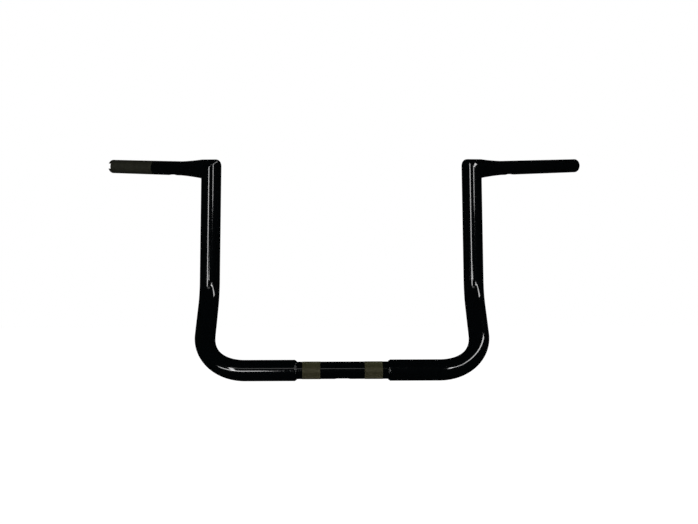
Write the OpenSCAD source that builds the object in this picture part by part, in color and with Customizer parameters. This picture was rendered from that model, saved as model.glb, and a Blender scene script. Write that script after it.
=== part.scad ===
// Ape hanger handlebar: a stepped, mitred fat bar welded up from seven steel tubes.
// Frame: X across the bike towards the clutch side, Y back to the rider, Z up.
// The origin is the middle of the clamp tube, on its axis.

/* [Clamp tube] */
// Outside diameter of the clamp tube, where the risers of the fork grip it
clamp_od = 28.6; // [27:0.1:31]
// Wall of the clamp tube
clamp_wall = 4; // [2.5:0.1:6]
// Length of the bare middle between the two uprights
clamp_span = 152.6; // [140:0.2:240]
// How far the clamp tube is pushed into each upright
socket_depth = 38; // [20:1:60]
// Radial room between the clamp tube and the upright round it
slip_fit = 0.1; // [0.05:0.01:0.2]
// Plain length between each upright and the knurled band beside it
knurl_inset = 10.3; // [4:0.1:20]
// Length of one knurled band
knurl_length = 29.6; // [20:0.2:36]
// How far the knurl's crests stand above the clamp tube
knurl_height = 0.25; // [0.1:0.05:0.6]
// Leg of the weld bead round each end of the bare middle
weld_leg = 2.4; // [1.5:0.1:3]

/* [Uprights] */
// Outside diameter of the upright tubes
upright_od = 34.9; // [34:0.1:44]
// Half the distance between the two bottom corners, on the tubes' centrelines
corner_half_width = 232; // [200:1:280]
// Centreline radius of the bottom corner
corner_radius = 72; // [60:1:90]
// Length of the raked lower leg, between the corner and the knee
leg_length = 160.5; // [145:0.5:220]
// How far the lower leg leans back from upright
leg_rake = 41; // [20:0.5:50]
// Centreline radius of the bend at the knee
knee_radius = 72; // [55:1:90]
// Length of the upper part, from the knee to the mitred corner
upper_length = 220.5; // [150:0.5:360]
// How far the upper part leans in towards the middle
upper_lean = 0.9; // [0:0.1:4]
// Radius of the ground-off outer corner of the mitre
mitre_round = 5; // [3:0.5:6]

/* [Arms] */
// How far the arms sweep back towards the rider
arm_sweep = 38; // [15:0.5:45]
// How far the arms rise towards their tips
arm_rise = 4.6; // [0:0.1:8]
// Length of the reducer that brings the upright's diameter down to the grip's
taper_length = 58; // [40:1:80]
// How far the reducer's wall dishes in below a straight cone
taper_dish = 0.6; // [0:0.1:1]
// Length of the straight grip tube on the clutch side
clutch_grip_length = 213; // [180:1:260]
// Length of the straight grip tube on the throttle side
throttle_grip_length = 192; // [170:1:240]
// Outside diameter of the grip tubes
grip_od = 25.4; // [25:0.1:26]
// Wall of the grip tubes and of the reducers' small ends
grip_wall = 2.4; // [1.8:0.1:3.5]
// Edge chamfer at each open tube end
end_chamfer = 0.5; // [0.2:0.1:1]

/* [Throttle end] */
// Width of the two slots in the end of the throttle tube
notch_width = 9.5; // [6:0.1:12]
// Depth of those slots along the tube
notch_depth = 6.5; // [4:0.1:12]

/* [Wiring] */
// Width of the oval wiring slots
wire_slot_width = 11; // [8:0.5:14]
// End-to-end length of each wiring slot under the grips
wire_slot_length = 24; // [18:1:34]
// Distance from the start of the grip tube to the middle of its wiring slot
wire_slot_from_taper = 24; // [20:1:40]
// Length of the wiring slot in the underside of the clamp tube, at its middle
clamp_slot_length = 26; // [18:1:34]

/* [Hidden] */
$fn = 96;

coat_black = [0.03, 0.03, 0.03];
bare_steel = [0.16, 0.15, 0.12];

up = [0, 0, 1];
clamp_r = clamp_od / 2;
clamp_bore_r = clamp_r - clamp_wall;
upright_r = upright_od / 2;
upright_bore_r = clamp_r + slip_fit;
grip_r = grip_od / 2;
grip_bore_r = grip_r - grip_wall;
half_span = clamp_span / 2;
knurl_middle = half_span - knurl_inset - knurl_length / 2;

// Centreline corners of the clutch side, from the middle of the bar outwards
step_point = [half_span, 0, 0];
corner_point = [corner_half_width, 0, 0];
knee_point = corner_point + leg_length * [0, sin(leg_rake), cos(leg_rake)];
mitre_point = knee_point + upper_length * [-sin(upper_lean), 0, cos(upper_lean)];
arm_direction = [
  cos(arm_rise) * cos(arm_sweep),
  cos(arm_rise) * sin(arm_sweep),
  sin(arm_rise),
];
upper_direction = unit(mitre_point - knee_point);

// Half the turn at the mitred corner, and how far the cut reaches along the arm
half_turn = acos(upper_direction * arm_direction) / 2;
mitre_reach = upright_r * tan(half_turn);
mitre_normal = unit(upper_direction + arm_direction);
taper_end = mitre_reach + taper_length;
grip_start = mitre_point + taper_end * arm_direction;
cut_size = 6 * upright_od;

// The weld bead stays inside the upright's own edge, and its hollow face just
// misses the two surfaces that it runs out on
bead = min(weld_leg, upright_r - clamp_r - end_chamfer);
bead_hollow_r = 0.99 * bead;

// Extra length that a cutting shape runs past what it cuts
cut_past = 1;
// A bend stands this little proud of the straights, which run this far into it,
// so that no two curved faces meet edge to edge
bend_proud = 0.05;
bend_lap = 0.4;
// The rounding of the mitre stands this far off the tubes where it leaves them
round_proud = 0.05;
// Steps along the dished wall of a reducer
taper_steps = 8;

function unit(v) = v / norm(v);
function turn_between(a, b) = acos(unit(a) * unit(b));

// Moves its children so that their Z lies along z and their X leans towards x
module stand(origin, z, x) {
  k = unit(z);
  i = unit(x - (x * k) * k);
  j = cross(k, i);
  multmatrix([
    [i.x, j.x, k.x, origin.x],
    [i.y, j.y, k.y, origin.y],
    [i.z, j.z, k.z, origin.z],
    [0, 0, 0, 1],
  ]) children();
}

// Everything on the throttle side is the clutch side seen in a mirror
module throttle_side() {
  mirror([1, 0, 0]) children();
}

module ring(r, bore_r) {
  difference() {
    circle(r);
    circle(bore_r);
  }
}

// One bend, which starts at the origin along Z and turns towards X
module bend(r, bore_r, radius, angle) {
  translate([radius, 0, 0])
    rotate([90, 0, 180])
      rotate_extrude(angle = angle)
        translate([radius, 0])
          ring(r, bore_r);
}

// A tube through a list of centreline corners, each inner one bent to its radius
module bent_tube(points, radii, r, bore_r) {
  last = len(points) - 1;
  legs = [for (i = [0:last - 1]) points[i + 1] - points[i]];
  turns = [for (i = [1:last - 1]) turn_between(legs[i - 1], legs[i])];
  // How far each straight stops short of its corner, less its lap into the bend
  short = [0, for (i = [0:last - 2]) radii[i] * tan(turns[i] / 2) - bend_lap, 0];
  for (i = [0:last - 1])
    stand(points[i] + short[i] * unit(legs[i]), legs[i], legs[i == 0 ? 1 : i - 1])
      linear_extrude(norm(legs[i]) - short[i] - short[i + 1])
        ring(r, bore_r);
  for (i = [1:last - 1])
    stand(points[i] - (short[i] + bend_lap) * unit(legs[i - 1]), legs[i - 1], legs[i])
      bend(r + bend_proud, bore_r - bend_proud, radii[i - 1], turns[i - 1]);
}

// What lies beyond the mitre plane on the side that the normal points to
module beyond_mitre(normal) {
  stand(mitre_point, normal, up)
    translate([-cut_size / 2, -cut_size / 2, 0])
      cube(cut_size);
}

// What the grinder takes off the mitre's outer corner, on both of its tubes
module mitre_rounding() {
  outward = upper_direction - arm_direction;
  stand(mitre_point, cross(upper_direction, arm_direction), outward)
    linear_extrude(cut_size, center = true)
      translate([(upright_r - mitre_round + round_proud) / cos(half_turn), 0])
        difference() {
          polygon([
            [0, 0],
            cut_size * [cos(half_turn), -sin(half_turn)],
            cut_size * [cos(half_turn), sin(half_turn)],
          ]);
          circle(mitre_round);
        }
}

// An oval slot through one wall, its length along X and its depth along Z
module wire_slot(length, depth) {
  straight = length - wire_slot_width;
  linear_extrude(depth) {
    square([straight, wire_slot_width], center = true);
    for (x = [-1, 1])
      translate([x * straight / 2, 0])
        circle(wire_slot_width / 2);
  }
}

module clamp_tube() {
  length = clamp_span + 2 * socket_depth;
  color(coat_black)
    difference() {
      rotate([0, 90, 0])
        cylinder(r = clamp_r, h = length, center = true);
      rotate([0, 90, 0])
        cylinder(r = clamp_bore_r, h = length + 2 * cut_past, center = true);
      translate([0, 0, -clamp_r - cut_past])
        wire_slot(clamp_slot_length, clamp_r + cut_past);
    }
  color(bare_steel)
    for (x = [-1, 1])
      translate([x * knurl_middle, 0, 0])
        rotate([0, 90, 0])
          knurl_band();
}

// The knurl's crest line, as a thin raised sleeve with eased edges
module knurl_band() {
  rotate_extrude()
    polygon([
      [clamp_r - knurl_height, -knurl_length / 2],
      [clamp_r, -knurl_length / 2],
      [clamp_r + knurl_height, -knurl_length / 2 + knurl_height],
      [clamp_r + knurl_height, knurl_length / 2 - knurl_height],
      [clamp_r, knurl_length / 2],
      [clamp_r - knurl_height, knurl_length / 2],
    ]);
}

module upright() {
  past_mitre = mitre_point + (mitre_reach + cut_past) * upper_direction;
  color(coat_black)
    difference() {
      bent_tube(
        [step_point, corner_point, knee_point, past_mitre],
        [corner_radius, knee_radius],
        upright_r, upright_bore_r
      );
      beyond_mitre(mitre_normal);
      mitre_rounding();
      step_edge_bevel();
    }
}

// Eases the outer edge of the upright's inner end
module step_edge_bevel() {
  translate(step_point)
    rotate([0, 90, 0])
      rotate_extrude()
        polygon([
          [upright_r - end_chamfer - cut_past, -cut_past],
          [upright_r + cut_past, -cut_past],
          [upright_r + cut_past, end_chamfer + cut_past],
        ]);
}

// A hollow fillet bead between the clamp tube and the end face of the upright
module step_weld() {
  color(coat_black)
    translate(step_point)
      rotate([0, -90, 0])
        rotate_extrude()
          difference() {
            translate([clamp_r, 0])
              square(bead);
            translate([clamp_r + bead, bead])
              circle(bead_hollow_r);
          }
}

// One side of the reducer's wall, from the upright's radius down to the grip's
function dished(from_r, to_r) = [
  for (i = [0:taper_steps])
    let (t = i / taper_steps)
      [
        from_r + (to_r - from_r) * t - 4 * taper_dish * t * (1 - t),
        mitre_reach + taper_length * t,
      ]
];
function backwards(list) = [for (i = [len(list) - 1:-1:0]) list[i]];

// The reducer that joins the mitred corner to the grip tube
module reducer() {
  start = -mitre_reach - cut_past;
  color(coat_black)
    difference() {
      stand(mitre_point, arm_direction, up)
        rotate_extrude()
          polygon([
            [upright_bore_r, start],
            [upright_r, start],
            each dished(upright_r, grip_r),
            each backwards(dished(upright_bore_r, grip_bore_r)),
          ]);
      beyond_mitre(-mitre_normal);
      mitre_rounding();
    }
}

// A plain grip tube along Z with its open end eased
module grip_tube(length) {
  rotate_extrude()
    polygon([
      [grip_bore_r, 0],
      [grip_r, 0],
      [grip_r, length - end_chamfer],
      [grip_r - end_chamfer, length],
      [grip_bore_r + end_chamfer, length],
      [grip_bore_r, length - end_chamfer],
    ]);
}

// Cuts the wiring slot in the underside of a grip tube
module grip_wire_slot() {
  translate([0, 0, wire_slot_from_taper])
    rotate([0, -90, 0])
      wire_slot(wire_slot_length, grip_r + cut_past);
}

module clutch_grip() {
  color(coat_black)
    stand(grip_start, arm_direction, up)
      difference() {
        grip_tube(clutch_grip_length);
        grip_wire_slot();
      }
}

module throttle_grip() {
  color(bare_steel)
    stand(grip_start, arm_direction, up)
      difference() {
        grip_tube(throttle_grip_length);
        grip_wire_slot();
        translate([-notch_width / 2, -grip_od, throttle_grip_length - notch_depth])
          cube([notch_width, 2 * grip_od, notch_depth + cut_past]);
      }
}

clamp_tube();
throttle_side() upright();  // throttle_side_upright
upright();  // clutch_side_upright
throttle_side() step_weld();  // throttle_side_step_weld
step_weld();  // clutch_side_step_weld
throttle_side() reducer();  // throttle_side_reducer
reducer();  // clutch_side_reducer
throttle_side() throttle_grip();  // throttle_grip_tube
clutch_grip();  // clutch_grip_tube
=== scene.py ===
import math
import bmesh
import bpy
from mathutils import Matrix, Vector


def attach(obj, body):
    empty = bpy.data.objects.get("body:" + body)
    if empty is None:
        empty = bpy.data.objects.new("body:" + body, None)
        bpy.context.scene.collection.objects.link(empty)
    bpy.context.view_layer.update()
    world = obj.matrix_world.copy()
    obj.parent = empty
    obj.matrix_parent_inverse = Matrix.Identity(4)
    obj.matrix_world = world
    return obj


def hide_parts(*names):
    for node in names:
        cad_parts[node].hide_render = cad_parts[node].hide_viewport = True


# Ape hanger handlebar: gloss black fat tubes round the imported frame, in metres.
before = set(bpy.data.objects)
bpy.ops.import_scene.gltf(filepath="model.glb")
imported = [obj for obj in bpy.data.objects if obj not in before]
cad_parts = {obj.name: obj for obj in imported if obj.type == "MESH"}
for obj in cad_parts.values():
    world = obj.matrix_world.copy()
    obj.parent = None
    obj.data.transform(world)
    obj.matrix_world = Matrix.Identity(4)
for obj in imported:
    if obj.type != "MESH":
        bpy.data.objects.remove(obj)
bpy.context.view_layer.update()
print("frame loaded,", len(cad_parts), "nodes")

mm = 0.001
facets = 96  # round every tube
origin = Vector((0, 0, 0))
near = 0.00002
weldGap = 0.00001
exactCut = 0.000001
skinDepth = 0.2 * mm  # a point this close below a surface counts as on it
sharpAngle = math.radians(40)
tubeSmoothing = math.radians(32)
knurlSmoothing = math.radians(14)


# The centreline of the clutch side; the throttle side is its mirror image

bar = {
    "halfSpan": 77.2 * mm,  # where the fat tube starts; 0.9 mm further out than the CAD, as photographed
    "cornerHalfWidth": 232.0 * mm,
    "cornerRadius": 72.0 * mm,
    "legLength": 160.5 * mm,
    "legRake": math.radians(41.0),
    "kneeRadius": 72.0 * mm,
    "upperLength": 220.5 * mm,
    "upperLean": math.radians(0.9),
    "armSweep": math.radians(38.0),
    "armRise": math.radians(4.6),
    "taperLength": 58.0 * mm,
}
uprightRadius = 17.45 * mm
uprightBore = 14.4 * mm
gripRadius = 12.7 * mm
gripBore = 10.3 * mm

alongBar = Vector((1, 0, 0))
alongLeg = Vector((0, math.sin(bar["legRake"]), math.cos(bar["legRake"])))
alongUpper = Vector((-math.sin(bar["upperLean"]), 0, math.cos(bar["upperLean"])))
alongArm = Vector((
    math.cos(bar["armRise"]) * math.cos(bar["armSweep"]),
    math.cos(bar["armRise"]) * math.sin(bar["armSweep"]),
    math.sin(bar["armRise"]),
))
stepPoint = Vector((bar["halfSpan"], 0, 0))
cornerPoint = Vector((bar["cornerHalfWidth"], 0, 0))
kneePoint = cornerPoint + bar["legLength"] * alongLeg
mitrePoint = kneePoint + bar["upperLength"] * alongUpper
mitreNormal = (alongUpper + alongArm).normalized()
halfTurn = alongUpper.angle(alongArm) / 2
mitreReach = uprightRadius * math.tan(halfTurn)
gripStart = mitrePoint + (mitreReach + bar["taperLength"]) * alongArm
armUp = (Vector((0, 0, 1)) - alongArm * alongArm.z).normalized()
armSide = alongArm.cross(armUp)


# Small steps that every piece is made with

def selectOnly(*pieces):
    bpy.ops.object.select_all(action="DESELECT")
    for piece in pieces:
        piece.select_set(True)
    bpy.context.view_layer.objects.active = pieces[0]


def startRing(name, place, along, radius, sides=facets):
    bpy.ops.object.select_all(action="DESELECT")
    bpy.ops.mesh.primitive_circle_add(
        vertices=sides, radius=radius, fill_type="NOTHING",
        location=place, rotation=along.to_track_quat("Z", "Y").to_euler())
    bpy.ops.object.transform_apply(location=True, rotation=True, scale=True)
    piece = bpy.context.object
    piece.name = piece.data.name = name
    bpy.ops.object.mode_set(mode="EDIT")
    bpy.ops.mesh.select_all(action="SELECT")
    return piece


def extrudeBy(move):
    bpy.ops.mesh.extrude_region_move(TRANSFORM_OT_translate={"value": move})


def resizeRing(centre, factor):
    bpy.ops.transform.resize(value=(factor, factor, factor), center_override=centre)


def flattenRing(centre):
    # squares the selected loop to the arm, by scaling it to nothing along the arm
    bpy.ops.transform.resize(
        value=(1, 1, 0), orient_type="GLOBAL", orient_matrix_type="GLOBAL",
        orient_matrix=[list(armUp), list(armSide), list(alongArm)],
        constraint_axis=(False, False, True), center_override=centre)


def spinBend(start, before, after, radius, steps, tubeRadius, flattened):
    # one ring at a time; the inner wall is drawn in a little towards the bend's middle
    inward = (after - before * before.dot(after)).normalized()
    centre = start + inward * radius
    turn = before.angle(after) / steps
    axis = before.cross(inward)
    last = 1
    for step in range(1, steps + 1):
        bpy.ops.mesh.spin(steps=1, angle=-turn, center=centre, axis=axis)
        toCentre = inward * math.cos(step * turn) - before * math.sin(step * turn)
        outerWall = centre - toCentre * (radius + tubeRadius)
        thick = 1 - flattened * math.sin(math.pi * step / steps) ** 2
        bpy.ops.transform.resize(
            value=(thick / last, 1, 1), orient_type="GLOBAL", orient_matrix_type="GLOBAL",
            orient_matrix=[list(toCentre), list(axis), list(toCentre.cross(axis))],
            constraint_axis=(True, False, False), center_override=outerWall)
        last = thick


def pick(piece, kind, test):
    bpy.ops.mesh.select_mode(type=kind)
    bpy.ops.mesh.select_all(action="DESELECT")
    shape = bmesh.from_edit_mesh(piece.data)
    for element in {"VERT": shape.verts, "EDGE": shape.edges, "FACE": shape.faces}[kind]:
        element.select = test(element)
    shape.select_flush_mode()
    bmesh.update_edit_mesh(piece.data)


def pickVerts(piece, test):
    pick(piece, "VERT", test)


def pickEdges(piece, test):
    pick(piece, "EDGE", test)


def pickFaces(piece, test):
    pick(piece, "FACE", test)


def inPlane(edge, place, normal):
    return all(abs((vert.co - place).dot(normal)) < near for vert in edge.verts)


def fromAxis(point, place, along):
    offset = point - place
    return (offset - along * offset.dot(along)).length


def bridgeAt(piece, place, normal):
    pickEdges(piece, lambda edge: edge.is_boundary and inPlane(edge, place, normal))
    bpy.ops.mesh.bridge_edge_loops()


def bevelPicked(width, segments, limited=False):
    bpy.ops.mesh.bevel(
        offset=width, offset_type="OFFSET", segments=segments, profile=0.5,
        affect="EDGES", clamp_overlap=limited)


def faceOutwards():
    bpy.ops.mesh.select_all(action="SELECT")
    bpy.ops.mesh.normals_make_consistent(inside=False)


def endEdit():
    faceOutwards()
    bpy.ops.object.mode_set(mode="OBJECT")


def applyModifier(piece, kind, **settings):
    selectOnly(piece)
    bpy.ops.object.modifier_add(type=kind)
    step = piece.modifiers[-1]
    for key, value in settings.items():
        setattr(step, key, value)
    bpy.ops.object.modifier_apply(modifier=step.name)


def smoothPiece(piece):
    selectOnly(piece)
    bpy.ops.object.shade_smooth_by_angle(angle=tubeSmoothing)
    applyModifier(piece, "WEIGHTED_NORMAL", keep_sharp=True)


def copyPiece(piece, name):
    selectOnly(piece)
    bpy.ops.object.duplicate()
    copied = bpy.context.object
    copied.name = copied.data.name = name
    return copied


def mirrorPiece(piece):
    selectOnly(piece)
    bpy.ops.object.mode_set(mode="EDIT")
    bpy.ops.mesh.select_all(action="SELECT")
    bpy.ops.transform.resize(value=(-1, 1, 1), center_override=origin)
    endEdit()


def cutAway(piece, cutter):
    applyModifier(piece, "BOOLEAN", operation="DIFFERENCE", solver="EXACT", object=cutter)
    bpy.data.objects.remove(cutter, do_unlink=True)


def standIn(piece, node):
    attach(piece, "root")
    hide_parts(node)


# Materials: shared effects first, then one function per finish

def newGroup(name, inputs, outputs):
    group = bpy.data.node_groups.new(name, "ShaderNodeTree")
    for label, kind in inputs:
        group.interface.new_socket(label, in_out="INPUT", socket_type=kind)
    for label, kind in outputs:
        group.interface.new_socket(label, in_out="OUTPUT", socket_type=kind)
    return group, group.nodes.new("NodeGroupInput"), group.nodes.new("NodeGroupOutput")


mottle = {"cells": 90.0, "range": (0.3, 0.7)}  # cells to the metre


def makeSurfaceGrain():
    # a fine relief and a slow mottle, in metres on Object coordinates
    group, given, result = newGroup(
        "surfaceGrain",
        [("Vector", "NodeSocketVector"), ("Density", "NodeSocketFloat"), ("Relief", "NodeSocketFloat")],
        [("Normal", "NodeSocketVector"), ("Mottle", "NodeSocketFloat")])
    nodes, links = group.nodes, group.links
    fine = nodes.new("ShaderNodeTexNoise")
    fine.inputs["Detail"].default_value = 2
    slow = nodes.new("ShaderNodeTexNoise")
    slow.inputs["Scale"].default_value = mottle["cells"]
    slow.inputs["Detail"].default_value = 4
    relief = nodes.new("ShaderNodeBump")
    links.new(given.outputs["Vector"], fine.inputs["Vector"])
    links.new(given.outputs["Density"], fine.inputs["Scale"])
    links.new(given.outputs["Vector"], slow.inputs["Vector"])
    links.new(fine.outputs[0], relief.inputs["Height"])
    links.new(given.outputs["Relief"], relief.inputs["Distance"])
    links.new(relief.outputs["Normal"], result.inputs["Normal"])
    links.new(slow.outputs[0], result.inputs["Mottle"])
    return group


surfaceGrain = makeSurfaceGrain()


def newMaterial(name):
    made = bpy.data.materials.new(name)
    made.use_nodes = True
    return made, made.node_tree.nodes, made.node_tree.links


def addGrain(nodes, links, density, relief):
    place = nodes.new("ShaderNodeTexCoord")
    grain = nodes.new("ShaderNodeGroup")
    grain.node_tree = surfaceGrain
    grain.inputs["Density"].default_value = density
    grain.inputs["Relief"].default_value = relief
    links.new(place.outputs["Object"], grain.inputs["Vector"])
    links.new(grain.outputs["Normal"], nodes["Principled BSDF"].inputs["Normal"])
    return place, grain


def mapRange(nodes, links, source, fromRange, toRange):
    spread = nodes.new("ShaderNodeMapRange")
    spread.inputs["From Min"].default_value, spread.inputs["From Max"].default_value = fromRange
    spread.inputs["To Min"].default_value, spread.inputs["To Max"].default_value = toRange
    links.new(source, spread.inputs["Value"])
    return spread.outputs[0]


def mixColours(nodes, links, mask, first, second):
    blend = nodes.new("ShaderNodeMix")
    blend.data_type = "RGBA"
    blend.inputs["A"].default_value = (*first, 1)
    blend.inputs["B"].default_value = (*second, 1)
    links.new(mask, blend.inputs["Factor"])
    return blend


coat = {
    "colour": (0.0004, 0.0009, 0.0011),
    "cloudy": (0.0008, 0.0013, 0.0016),
    "roughness": (0.075, 0.105),
    "peel": 420.0,  # orange peel cells to the metre
    "peelHeight": 0.0000005,
}


def makeGlossCoat():
    made, nodes, links = newMaterial("glossBlackCoat")
    shader = nodes["Principled BSDF"]
    _, grain = addGrain(nodes, links, coat["peel"], coat["peelHeight"])
    cloud = grain.outputs["Mottle"]
    roughness = mapRange(nodes, links, cloud, mottle["range"], coat["roughness"])
    links.new(roughness, shader.inputs["Roughness"])
    blend = mixColours(nodes, links, cloud, coat["colour"], coat["cloudy"])
    links.new(blend.outputs["Result"], shader.inputs["Base Color"])
    return made


knurlFinish = {
    # painted shade: the grooves are painted much darker than the crests
    "grooveShade": (0.0090, 0.0085, 0.0040),
    "crest": (0.0545, 0.0495, 0.0180),
    "crestTopShade": (0.0455, 0.0460, 0.0120),  # painted shade: the upper part of the crests, greener and darker
    "grooveRadius": 14.25 * mm,
    "crestRadius": 14.55 * mm,
    "topShadeFrom": 0.25,  # heights of the painted top shade, as shares of the crest radius
    "topShadeFull": 0.75,
    "metallic": 0.35,
    "roughness": 0.5,
    "grain": 2400.0,
    "grainHeight": 0.00001,
}


def makeBareKnurl():
    made, nodes, links = newMaterial("bareKnurl")
    shader = nodes["Principled BSDF"]
    shader.inputs["Metallic"].default_value = knurlFinish["metallic"]
    shader.inputs["Roughness"].default_value = knurlFinish["roughness"]
    place, _ = addGrain(nodes, links, knurlFinish["grain"], knurlFinish["grainHeight"])
    parts = nodes.new("ShaderNodeSeparateXYZ")
    acrossTube = nodes.new("ShaderNodeCombineXYZ")
    reach = nodes.new("ShaderNodeVectorMath")
    reach.operation = "LENGTH"
    links.new(place.outputs["Object"], parts.inputs[0])
    links.new(parts.outputs["Y"], acrossTube.inputs["Y"])
    links.new(parts.outputs["Z"], acrossTube.inputs["Z"])
    links.new(acrossTube.outputs[0], reach.inputs[0])
    crest = knurlFinish["crestRadius"]
    # painted shade: the crests turn greener and darker towards the top
    topShadeMask = mapRange(nodes, links, parts.outputs["Z"],
                     (knurlFinish["topShadeFrom"] * crest, knurlFinish["topShadeFull"] * crest), (0, 1))
    # painted shade: darker towards the groove floor, lighter on the crests
    depth = mapRange(nodes, links, reach.outputs["Value"], (knurlFinish["grooveRadius"], crest), (0, 1))
    raised = mixColours(nodes, links, topShadeMask, knurlFinish["crest"], knurlFinish["crestTopShade"])
    blend = mixColours(nodes, links, depth, knurlFinish["grooveShade"], knurlFinish["crest"])
    links.new(raised.outputs["Result"], blend.inputs["B"])
    links.new(blend.outputs["Result"], shader.inputs["Base Color"])
    return made


bareEnd = {
    "dark": (0.0105, 0.0110, 0.0048),
    "light": (0.0200, 0.0212, 0.0098),
    "turnMarks": 900.0,  # to the metre, along the tube
    "markRange": (0.12, 0.40),
    "metallic": 0.2,
    "roughness": 0.58,
    "grain": 1500.0,
    "grainHeight": 0.000006,
}


def makeBareThrottleEnd(along):
    made, nodes, links = newMaterial("bareThrottleEnd")
    shader = nodes["Principled BSDF"]
    shader.inputs["Metallic"].default_value = bareEnd["metallic"]
    shader.inputs["Roughness"].default_value = bareEnd["roughness"]
    place, grain = addGrain(nodes, links, bareEnd["grain"], bareEnd["grainHeight"])
    distance = nodes.new("ShaderNodeVectorMath")
    distance.operation = "DOT_PRODUCT"
    distance.inputs[1].default_value = along
    marks = nodes.new("ShaderNodeTexNoise")
    marks.noise_dimensions = "1D"
    marks.inputs["Scale"].default_value = bareEnd["turnMarks"]
    both = nodes.new("ShaderNodeMath")
    both.operation = "MULTIPLY"
    links.new(place.outputs["Object"], distance.inputs[0])
    links.new(distance.outputs["Value"], marks.inputs["W"])
    links.new(marks.outputs[0], both.inputs[0])
    links.new(grain.outputs["Mottle"], both.inputs[1])
    mask = mapRange(nodes, links, both.outputs[0], bareEnd["markRange"], (0, 1))
    blend = mixColours(nodes, links, mask, bareEnd["dark"], bareEnd["light"])
    links.new(blend.outputs["Result"], shader.inputs["Base Color"])
    return made


rawFinish = {
    "dark": (0.020, 0.018, 0.016),
    "light": (0.050, 0.044, 0.038),
    "metallic": 0.8,
    "roughness": (0.42, 0.65),
    "grain": 1100.0,
    "grainHeight": 0.00001,
}


def makeRawTube():
    made, nodes, links = newMaterial("rawTubeInside")
    shader = nodes["Principled BSDF"]
    shader.inputs["Metallic"].default_value = rawFinish["metallic"]
    _, grain = addGrain(nodes, links, rawFinish["grain"], rawFinish["grainHeight"])
    cloud = grain.outputs["Mottle"]
    roughness = mapRange(nodes, links, cloud, mottle["range"], rawFinish["roughness"])
    links.new(roughness, shader.inputs["Roughness"])
    blend = mixColours(nodes, links, cloud, rawFinish["dark"], rawFinish["light"])
    links.new(blend.outputs["Result"], shader.inputs["Base Color"])
    return made


glossCoat = makeGlossCoat()
bareKnurl = makeBareKnurl()
bareThrottleEnd = makeBareThrottleEnd(Vector((-alongArm.x, alongArm.y, alongArm.z)))
rawTube = makeRawTube()
print("materials made")


def giveMaterials(piece, *materials):
    piece.data.materials.clear()
    for material in materials:
        piece.data.materials.append(material)


def paintFaces(piece, index, test):
    for face in piece.data.polygons:
        if test(face):
            face.material_index = index


# Uprights and reducers: two skins swept along the centreline, cut apart at the mitre

skin = {
    "cornerSteps": 44,
    "kneeSteps": 22,
    "cornerFlat": 0.07,  # share of the tube lost across the middle of the bend
    "kneeFlat": 0.01,
    "taperRings": 18,
    "taperDish": 0.6 * mm,
    "roundWidth": 5.6 * mm,  # of the ground-off mitre, either side of its edge
    "roundSteps": 24,
    "pastRounding": 1.2 * mm,
    "stepRound": 1.3 * mm,
    "stepRoundSteps": 5,
    "pastMitre": 1.6,  # how far the sweep runs on before it is cut, in mitre lengths
}


def taperRadius(fromRadius, toRadius, distance):
    share = distance / bar["taperLength"]
    dish = 4 * skin["taperDish"] * share * (1 - share)
    return fromRadius + (toRadius - fromRadius) * share - dish


def sweepSkin(name, radius, endRadius, rounded):
    piece = startRing(name, stepPoint, alongBar, radius)
    cornerTrim = bar["cornerRadius"] * math.tan(alongBar.angle(alongLeg) / 2)
    kneeTrim = bar["kneeRadius"] * math.tan(alongLeg.angle(alongUpper) / 2)
    cornerStart = cornerPoint - alongBar * cornerTrim
    legStart = cornerPoint + alongLeg * cornerTrim
    kneeStart = kneePoint - alongLeg * kneeTrim
    upperStart = kneePoint + alongUpper * kneeTrim
    extrudeBy(cornerStart - stepPoint)
    spinBend(cornerStart, alongBar, alongLeg, bar["cornerRadius"], skin["cornerSteps"],
             radius, skin["cornerFlat"])
    extrudeBy(kneeStart - legStart)
    spinBend(kneeStart, alongLeg, alongUpper, bar["kneeRadius"], skin["kneeSteps"],
             radius, skin["kneeFlat"])
    extrudeBy(mitrePoint + skin["pastMitre"] * mitreReach * alongUpper - upperStart)
    bpy.ops.mesh.select_all(action="SELECT")
    bpy.ops.mesh.bisect(plane_co=mitrePoint, plane_no=mitreNormal, clear_outer=True, threshold=exactCut)
    # the cut loop runs on along the arm, is squared there and then tapers
    firstRing = skin["roundWidth"] + skin["pastRounding"]
    centre = mitrePoint + (mitreReach + firstRing) * alongArm
    extrudeBy(centre - mitrePoint)
    flattenRing(centre)
    last = radius
    for ring in range(skin["taperRings"] + 1):
        distance = firstRing + (bar["taperLength"] - firstRing) * ring / skin["taperRings"]
        wanted = taperRadius(radius, endRadius, distance)
        if ring:
            move = (bar["taperLength"] - firstRing) / skin["taperRings"] * alongArm
            extrudeBy(move)
            centre = centre + move
        resizeRing(centre, wanted / last)
        last = wanted
    if rounded:
        pickEdges(piece, lambda edge: inPlane(edge, mitrePoint, mitreNormal))
        bevelPicked(skin["roundWidth"], skin["roundSteps"])
    endEdit()
    return piece


def halfSkin(source, name, isReducer):
    half = copyPiece(source, name)
    bpy.ops.object.mode_set(mode="EDIT")
    bpy.ops.mesh.select_all(action="SELECT")
    bpy.ops.mesh.bisect(
        plane_co=mitrePoint, plane_no=mitreNormal, clear_outer=not isReducer,
        clear_inner=isReducer, threshold=weldGap)
    bpy.ops.object.mode_set(mode="OBJECT")
    return half


def walledPiece(name, outer, inner, isReducer):
    piece = halfSkin(outer, name, isReducer)
    lining = halfSkin(inner, name + "Lining", isReducer)
    selectOnly(piece, lining)
    bpy.ops.object.join()
    bpy.ops.object.mode_set(mode="EDIT")
    bridgeAt(piece, mitrePoint, mitreNormal)
    if isReducer:
        bridgeAt(piece, gripStart, alongArm)
    else:
        bridgeAt(piece, stepPoint, alongBar)
        pickEdges(piece, lambda edge: inPlane(edge, stepPoint, alongBar) and all(
            vert.co.yz.length > uprightRadius - skinDepth for vert in edge.verts))
        bevelPicked(skin["stepRound"], skin["stepRoundSteps"])
    endEdit()
    return piece


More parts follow.
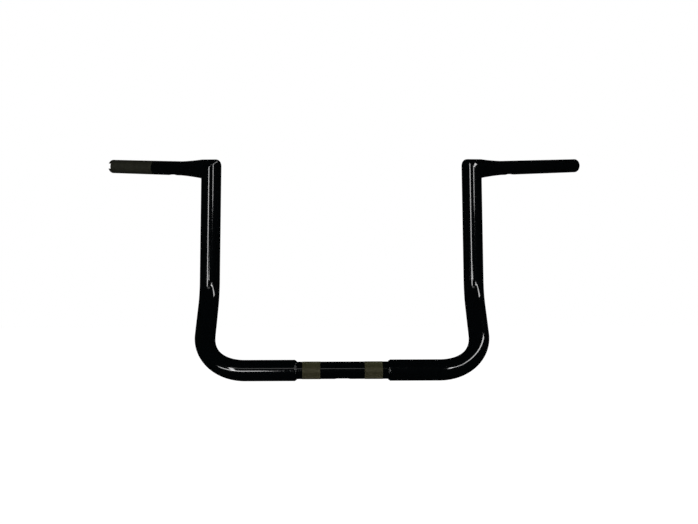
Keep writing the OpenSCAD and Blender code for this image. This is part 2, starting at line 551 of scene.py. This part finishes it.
def finishPair(piece, otherName, node, otherNode):
    other = copyPiece(piece, otherName)
    mirrorPiece(other)
    for made, name in ((piece, node), (other, otherNode)):
        giveMaterials(made, glossCoat)
        smoothPiece(made)
        standIn(made, name)


def buildFatTubes():
    outer = sweepSkin("outerSkin", uprightRadius, gripRadius, True)
    inner = sweepSkin("innerSkin", uprightBore, gripBore, False)
    upright = walledPiece("clutchSideUpright", outer, inner, False)
    reducer = walledPiece("clutchSideReducer", outer, inner, True)
    for used in (outer, inner):
        bpy.data.objects.remove(used, do_unlink=True)
    finishPair(upright, "throttleSideUpright", "clutch_side_upright", "throttle_side_upright")
    finishPair(reducer, "throttleSideReducer", "clutch_side_reducer", "throttle_side_reducer")


# Step welds: a round bead laid in the corner, with evenly spaced ripples

bead = {
    "radius": 1.35 * mm,
    "inset": 0.55 * mm,  # of its middle from the step face and from the clamp tube
    "ripples": 60,
    "stepsPerRipple": 4,
    "rippleHeight": 0.13 * mm,
    "sides": 14,
}
clampRadius = 14.3 * mm


def buildWelds():
    middle = Vector((bar["halfSpan"] - bead["inset"], 0, clampRadius + bead["inset"]))
    piece = startRing("clutchSideStepWeld", middle, Vector((0, 1, 0)), bead["radius"], bead["sides"])
    steps = bead["ripples"] * bead["stepsPerRipple"]
    bpy.ops.mesh.spin(steps=steps, angle=2 * math.pi, center=stepPoint, axis=alongBar)
    bpy.ops.mesh.select_all(action="SELECT")
    bpy.ops.mesh.remove_doubles(threshold=weldGap)
    faceOutwards()
    pickVerts(piece, lambda vert: round(
        math.atan2(vert.co.y, vert.co.z) / (2 * math.pi) * steps) % bead["stepsPerRipple"] == 0)
    bpy.ops.transform.shrink_fatten(value=-bead["rippleHeight"])
    endEdit()
    finishPair(piece, "throttleSideStepWeld", "clutch_side_step_weld", "throttle_side_step_weld")


# Cutters for the oval wiring slots

slotShape = {"width": 11.0 * mm, "gripLength": 24.0 * mm, "clampLength": 26.0 * mm, "sides": 48}


def ovalCutter(length, middle, along, side, down, depth):
    bpy.ops.object.select_all(action="DESELECT")
    halfSegment = math.pi / slotShape["sides"]
    bpy.ops.mesh.primitive_circle_add(
        vertices=slotShape["sides"], radius=slotShape["width"] / 2, fill_type="NGON",
        rotation=(0, 0, halfSegment))
    cutter = bpy.context.object
    bpy.ops.object.transform_apply(location=True, rotation=True, scale=True)
    bpy.ops.object.mode_set(mode="EDIT")
    for way in (-1, 1):
        pickVerts(cutter, lambda vert: vert.co.x * way > 0)
        bpy.ops.transform.translate(value=(way * (length - slotShape["width"]) / 2, 0, 0))
    bpy.ops.mesh.select_all(action="SELECT")
    extrudeBy(Vector((0, 0, depth)))
    endEdit()
    turned = Matrix((along, side, down)).transposed().to_4x4()
    cutter.matrix_world = Matrix.Translation(middle) @ turned
    selectOnly(cutter)
    bpy.ops.object.transform_apply(location=True, rotation=True, scale=True)
    return cutter


# Grip tubes, in the arm's own directions

grips = {
    "clutchLength": 213.0 * mm,
    "throttleLength": 192.0 * mm,
    "slotMiddle": 24.0 * mm,
    "bareFrom": 70.6 * mm,
    "notchWidth": 9.5 * mm,
    "notchDepth": 6.5 * mm,
    "easing": 0.8 * mm,
    "cutEasing": 0.15 * mm,
}


def onArm(point):
    return (point - gripStart).dot(alongArm)


def notchCutter(length):
    bpy.ops.object.select_all(action="DESELECT")
    bpy.ops.mesh.primitive_cube_add(size=1)
    cutter = bpy.context.object
    past = 2 * mm
    deep = grips["notchDepth"] + past
    size = Matrix.Diagonal((grips["notchWidth"], 4 * gripRadius, deep, 1))
    turned = Matrix((armUp, armSide, alongArm)).transposed().to_4x4()
    middle = gripStart + (length - grips["notchDepth"] + deep / 2) * alongArm
    cutter.matrix_world = Matrix.Translation(middle) @ turned @ size
    bpy.ops.object.transform_apply(location=True, rotation=True, scale=True)
    return cutter


def gripTube(name, length, stops):
    piece = startRing(name, gripStart, alongArm, gripRadius)
    reached = 0
    for stop in (*stops, length):
        extrudeBy((stop - reached) * alongArm)
        reached = stop
    tip = gripStart + length * alongArm
    extrudeBy(origin)
    resizeRing(tip, gripBore / gripRadius)
    extrudeBy(-length * alongArm)
    bridgeAt(piece, gripStart, alongArm)
    pickEdges(piece, lambda edge: inPlane(edge, tip, alongArm) and isSharp(edge))
    bevelPicked(grips["easing"], 4)
    endEdit()
    slotMiddle = gripStart + grips["slotMiddle"] * alongArm
    cutAway(piece, ovalCutter(
        slotShape["gripLength"], slotMiddle, alongArm, alongArm.cross(armUp), -armUp, 2 * gripRadius))
    return piece


def isSharp(edge):
    return len(edge.link_faces) == 2 and edge.calc_face_angle(0) > sharpAngle


def easeCuts(piece):
    selectOnly(piece)
    bpy.ops.object.mode_set(mode="EDIT")
    pickEdges(piece, lambda edge: isSharp(edge) and min(onArm(vert.co) for vert in edge.verts) > mm)
    bevelPicked(grips["cutEasing"], 2, True)
    endEdit()


def buildGrips():
    clutch = gripTube("clutchGripTube", grips["clutchLength"], ())
    throttle = gripTube("throttleGripTube", grips["throttleLength"], (grips["bareFrom"],))
    cutAway(throttle, notchCutter(grips["throttleLength"]))
    for piece in (clutch, throttle):
        easeCuts(piece)
        giveMaterials(piece, glossCoat, rawTube, bareThrottleEnd)
        middleRadius = (gripRadius + gripBore) / 2
        paintFaces(piece, 1, lambda face: fromAxis(face.center, gripStart, alongArm) < middleRadius
                   and abs(face.normal.dot(alongArm)) < 0.5)
    paintFaces(throttle, 2, lambda face: onArm(face.center) > grips["bareFrom"]
               and face.material_index == 0)
    mirrorPiece(throttle)
    for piece, node, slot in (
        (clutch, "clutch_grip_tube", "gloss_black_coat"),
        (throttle, "throttle_grip_tube", "bare_throttle_end"),
    ):
        smoothPiece(piece)
        standIn(piece, node)


# Clamp tube with its two knurled bands

clamp = {
    "bore": 10.3 * mm,
    "halfLength": 114.3 * mm,
    "bandMiddle": 51.2 * mm,
    "bandLength": 29.6 * mm,
    "bandRows": 20,
    "grooveWidth": 0.15 * mm,
    "crestHeight": 0.25 * mm,
    "rowSlack": 0.1,  # of a row
    "slotEasing": 0.4 * mm,
}


def inBand(x):
    return abs(abs(x) - clamp["bandMiddle"]) < clamp["bandLength"] / 2 + near


def bandRow(x):
    start = clamp["bandMiddle"] - clamp["bandLength"] / 2
    return (abs(x) - start) / clamp["bandLength"] * clamp["bandRows"]


def onBandSkin(face):
    middle = face.calc_center_median()
    return inBand(middle.x) and middle.yz.length > clampRadius - skinDepth and abs(face.normal.x) < 0.5


def isOldBandEdge(edge):
    rows = [bandRow(vert.co.x) for vert in edge.verts]
    if any(abs(row - round(row)) > clamp["rowSlack"] for row in rows):
        return False
    middle = sum(rows) / 2
    inside = near < middle < clamp["bandRows"] - near
    if abs(rows[0] - rows[1]) < clamp["rowSlack"]:
        inside = 0.5 < middle < clamp["bandRows"] - 0.5
    return inside and all(vert.co.yz.length > clampRadius - skinDepth for vert in edge.verts)


def buildClampTube():
    end = clamp["halfLength"]
    piece = startRing("clampTube", Vector((-end, 0, 0)), alongBar, clampRadius)
    half = clamp["bandLength"] / 2
    rows = range(clamp["bandRows"] + 1)
    stops = []
    for band in (-clamp["bandMiddle"], clamp["bandMiddle"]):
        stops += [band - half + clamp["bandLength"] * row / clamp["bandRows"] for row in rows]
    reached = -end
    for stop in (*stops, end):
        extrudeBy((stop - reached) * alongBar)
        reached = stop
    extrudeBy(origin)
    resizeRing(Vector((end, 0, 0)), clamp["bore"] / clampRadius)
    extrudeBy(-2 * end * alongBar)
    bridgeAt(piece, Vector((-end, 0, 0)), alongBar)
    endEdit()
    down = Vector((0, 0, -1))
    cutAway(piece, ovalCutter(
        slotShape["clampLength"], origin, alongBar, down.cross(alongBar), down, 2 * clampRadius))
    selectOnly(piece)
    bpy.ops.object.mode_set(mode="EDIT")
    pickEdges(piece, lambda edge: isSharp(edge) and abs(edge.verts[0].co.x) < slotShape["clampLength"])
    bevelPicked(clamp["slotEasing"], 3)
    pickFaces(piece, onBandSkin)
    bpy.ops.mesh.poke()
    pickEdges(piece, isOldBandEdge)
    bpy.ops.mesh.dissolve_edges(use_verts=False)
    pickFaces(piece, onBandSkin)
    bpy.ops.mesh.inset(
        thickness=clamp["grooveWidth"], depth=clamp["crestHeight"], use_individual=True)
    endEdit()
    giveMaterials(piece, glossCoat, bareKnurl, rawTube)
    paintFaces(piece, 1, lambda face: inBand(face.center.x) and face.center.yz.length > clampRadius - mm)
    paintFaces(piece, 2, lambda face: face.center.yz.length < (clampRadius + clamp["bore"]) / 2)
    selectOnly(piece)
    bpy.ops.object.shade_smooth_by_angle(angle=knurlSmoothing)
    standIn(piece, "clamp_tube")


buildFatTubes()
print("uprights and reducers built")
buildWelds()
print("step welds built")
buildGrips()
print("grip tubes built")
buildClampTube()
print("clamp tube built")


# The camera and the studio

camera = {
    "place": Vector((-0.0090, -1.5810, 0.1783)),
    "yaw": 0.73,  # degrees to the right
    "roll": 0.14,
    "lens": 49.5,
    "sensor": 36.0,
}


def addCamera():
    turned = (math.radians(90), math.radians(camera["roll"]), math.radians(-camera["yaw"]))
    bpy.ops.object.camera_add(location=camera["place"], rotation=turned)
    shot = bpy.context.object
    shot.name = "camera"
    shot.data.lens = camera["lens"]
    shot.data.sensor_width = camera["sensor"]
    bpy.context.scene.camera = shot


# Each strip runs from one end to the other and faces the bar. The rails show in the
# gloss only, so the bare metal keeps the level that the room gives it.
strips = {
    "left strip": {"ends": ((-1.75, -3.95, -0.20), (-1.75, -3.95, 1.60)), "wide": 0.50, "glow": 15.7},
    "right strip": {"ends": ((0.77, -1.80, 0.385), (0.77, -1.80, 0.72)), "wide": 0.20, "glow": 12.5},
    "front boom": {"ends": ((-1.10, -2.40, 1.30), (0.18, -2.40, 1.30)), "wide": 0.30, "glow": 1.5},
    "low rail": {"ends": ((-2.30, -1.80, -0.31), (-0.25, -1.80, 0.035)), "wide": 0.22, "glow": 14.5,
                 "glossOnly": True},
    "side rail": {"ends": ((1.27, -0.12, 1.22), (2.17, -3.00, 1.16)), "wide": 0.30, "glow": 12.5,
                  "glossOnly": True},
    "side rail end": {"ends": ((2.17, -3.00, 1.16), (1.75, -4.90, 1.55)), "wide": 0.30, "glow": 17.0,
                      "glossOnly": True},
}
stripAim = Vector((0, 0, 0.15))


def addStrips():
    for name, strip in strips.items():
        first, second = (Vector(end) for end in strip["ends"])
        middle = (first + second) / 2
        along = (second - first).normalized()
        back = (middle - stripAim).normalized()
        back = (back - along * back.dot(along)).normalized()
        bpy.ops.object.light_add(type="AREA", location=middle)
        lamp = bpy.context.object
        lamp.name = name
        lamp.rotation_euler = Matrix((along, back.cross(along), back)).transposed().to_euler()
        lamp.data.shape = "RECTANGLE"
        lamp.data.size = (second - first).length
        lamp.data.size_y = strip["wide"]
        lamp.data.energy = strip["glow"] * math.pi * lamp.data.size * lamp.data.size_y
        lamp.visible_camera = False
        lamp.visible_diffuse = not strip.get("glossOnly", False)


# The photograph's gloss sees a dark room with narrow strips in it, not the white
# page, so what glossy rays see has its own level here and on the floor.
room = {"fill": 0.70, "darkSide": 0.004}


def backgroundOf(nodes, strength):
    light = nodes.new("ShaderNodeBackground")
    light.inputs["Color"].default_value = (1, 1, 1, 1)
    light.inputs["Strength"].default_value = strength
    return light


def mixShaders(nodes, links, mask, first, second):
    blend = nodes.new("ShaderNodeMixShader")
    links.new(mask, blend.inputs[0])
    links.new(first.outputs[0], blend.inputs[1])
    links.new(second.outputs[0], blend.inputs[2])
    return blend


def addRoom():
    world = bpy.data.worlds.new("room")
    bpy.context.scene.world = world
    world.use_nodes = True
    nodes, links = world.node_tree.nodes, world.node_tree.links
    nodes.clear()
    path = nodes.new("ShaderNodeLightPath")
    out = nodes.new("ShaderNodeOutputWorld")
    fill = backgroundOf(nodes, room["fill"])
    dark = backgroundOf(nodes, room["darkSide"])
    white = backgroundOf(nodes, 1.0)
    inGloss = mixShaders(nodes, links, path.outputs["Is Glossy Ray"], fill, dark)
    inCamera = mixShaders(nodes, links, path.outputs["Is Camera Ray"], inGloss, white)
    links.new(inCamera.outputs[0], out.inputs["Surface"])


floor = {"height": -0.34, "half": 6.0, "glow": 0.93, "shade": 0.16, "paper": 0.8}


def makeFloorPaper():
    made, nodes, links = newMaterial("floorPaper")
    nodes.clear()
    path = nodes.new("ShaderNodeLightPath")
    side = nodes.new("ShaderNodeNewGeometry")
    out = nodes.new("ShaderNodeOutputMaterial")
    paper = nodes.new("ShaderNodeBsdfDiffuse")
    paper.inputs["Color"].default_value = (floor["paper"], floor["paper"], floor["paper"], 1)
    # for the camera: mostly a plain white, and enough paper to keep the shadow
    seenPaper = nodes.new("ShaderNodeBsdfDiffuse")
    seenPaper.inputs["Color"].default_value = (floor["shade"], floor["shade"], floor["shade"], 1)
    glow = nodes.new("ShaderNodeEmission")
    glow.inputs["Strength"].default_value = floor["glow"]
    seen = nodes.new("ShaderNodeAddShader")
    links.new(seenPaper.outputs[0], seen.inputs[0])
    links.new(glow.outputs[0], seen.inputs[1])
    dark = nodes.new("ShaderNodeEmission")
    dark.inputs["Strength"].default_value = room["darkSide"]
    clear = nodes.new("ShaderNodeBsdfTransparent")
    inGloss = mixShaders(nodes, links, path.outputs["Is Glossy Ray"], paper, dark)
    inCamera = mixShaders(nodes, links, path.outputs["Is Camera Ray"], inGloss, seen)
    fromBelow = mixShaders(nodes, links, side.outputs["Backfacing"], inCamera, clear)
    links.new(fromBelow.outputs[0], out.inputs["Surface"])
    return made


def addFloor():
    bpy.ops.object.select_all(action="DESELECT")
    bpy.ops.mesh.primitive_plane_add(size=2 * floor["half"], location=(0, 0, floor["height"]))
    sheet = bpy.context.object
    sheet.name = "floor"
    giveMaterials(sheet, makeFloorPaper())


bpy.context.scene.view_settings.view_transform = "Standard"
addCamera()
addStrips()
addRoom()
addFloor()
print("camera, lights and floor are in")
